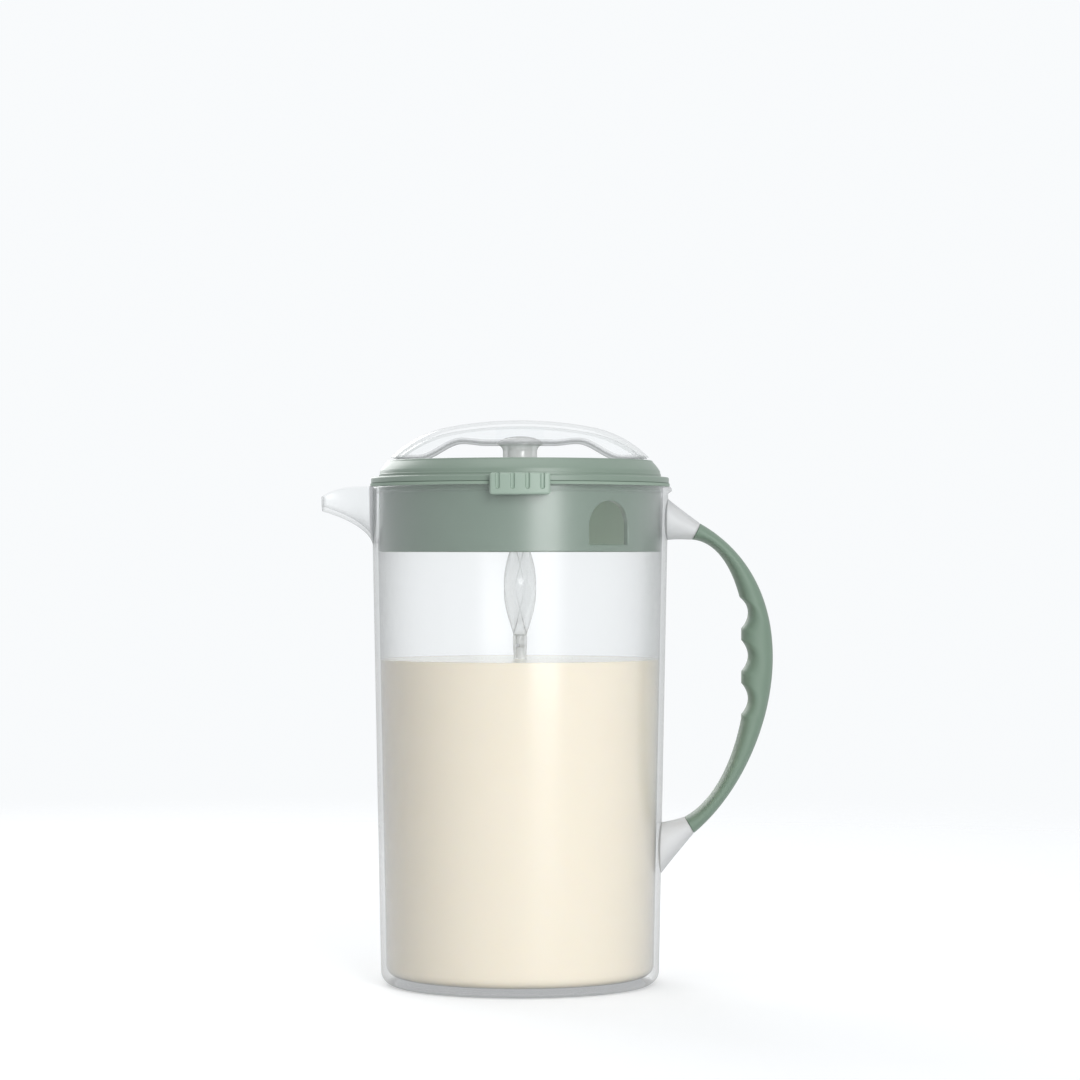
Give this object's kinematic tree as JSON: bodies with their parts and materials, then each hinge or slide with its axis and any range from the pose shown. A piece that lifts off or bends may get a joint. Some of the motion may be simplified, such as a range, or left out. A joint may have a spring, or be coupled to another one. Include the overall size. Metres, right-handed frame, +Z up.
{
  "type": "baby formula mixing pitcher",
  "caption": "Clear jug with an open spout and a side handle, a green lid that turns and lifts off, and a domed plunger whose twisted shaft spins a mixing blade.",
  "frame": {"origin": "centre of the jug's flat underside", "axes": "+Z up along the jug's axis, +X towards the side handle, -X towards the spout, -Y towards the viewer of the picture"},
  "size_m": [0.1689, 0.1166, 0.2109],
  "materials": {
    "clear_plastic": "clear, polished",
    "green_plastic": "satin sage green",
    "seal_silicone": "matte sage silicone",
    "pin_steel": "brushed"
  },
  "bodies": {
    "jug": {"jug_body": "clear_plastic", "handle_frame": "clear_plastic", "handle_grip": "green_plastic"},
    "seal": {"lid_seal": "seal_silicone"},
    "lid": {"lid_shell": "green_plastic", "thumb_tab": "green_plastic", "shaft_guide": "green_plastic"},
    "plunger": {"plunger_handle": "clear_plastic", "swivel_bush": "clear_plastic"},
    "shaft": {"upper_shaft": "clear_plastic", "lower_shaft": "clear_plastic", "bayonet_pin": "pin_steel", "mixing_blade": "green_plastic", "blade_cap": "green_plastic"},
    "stopper": {"stopper_clip": "green_plastic"}
  },
  "joints": [
    {"name": "lid_lift", "type": "slide", "parent": "jug", "child": "seal", "axis": [0, 0, 1], "range_m": [0, 0.19]},
    {"name": "lid_turn", "type": "hinge", "parent": "seal", "child": "lid", "pos_m": [0, 0, 0.187], "axis": [0, 0, 1], "range_deg": [-55, 231.5]},
    {"name": "plunger_slide", "type": "slide", "parent": "lid", "child": "plunger", "axis": [0, 0, 1], "range_m": [0, 0.105]},
    {"name": "shaft_turn", "type": "hinge", "parent": "plunger", "child": "shaft", "pos_m": [0, 0, 0.195], "axis": [0, 0, 1], "range_deg": [0, 526]},
    {"name": "stopper_slide", "type": "slide", "parent": "shaft", "child": "stopper", "axis": [0, 0, 1], "range_m": [-0.03, 0.01]}
  ],
  "couplings": [
    {"joint": "shaft_turn", "follows": "plunger_slide", "rad_per_m": 87.266}
  ]
}
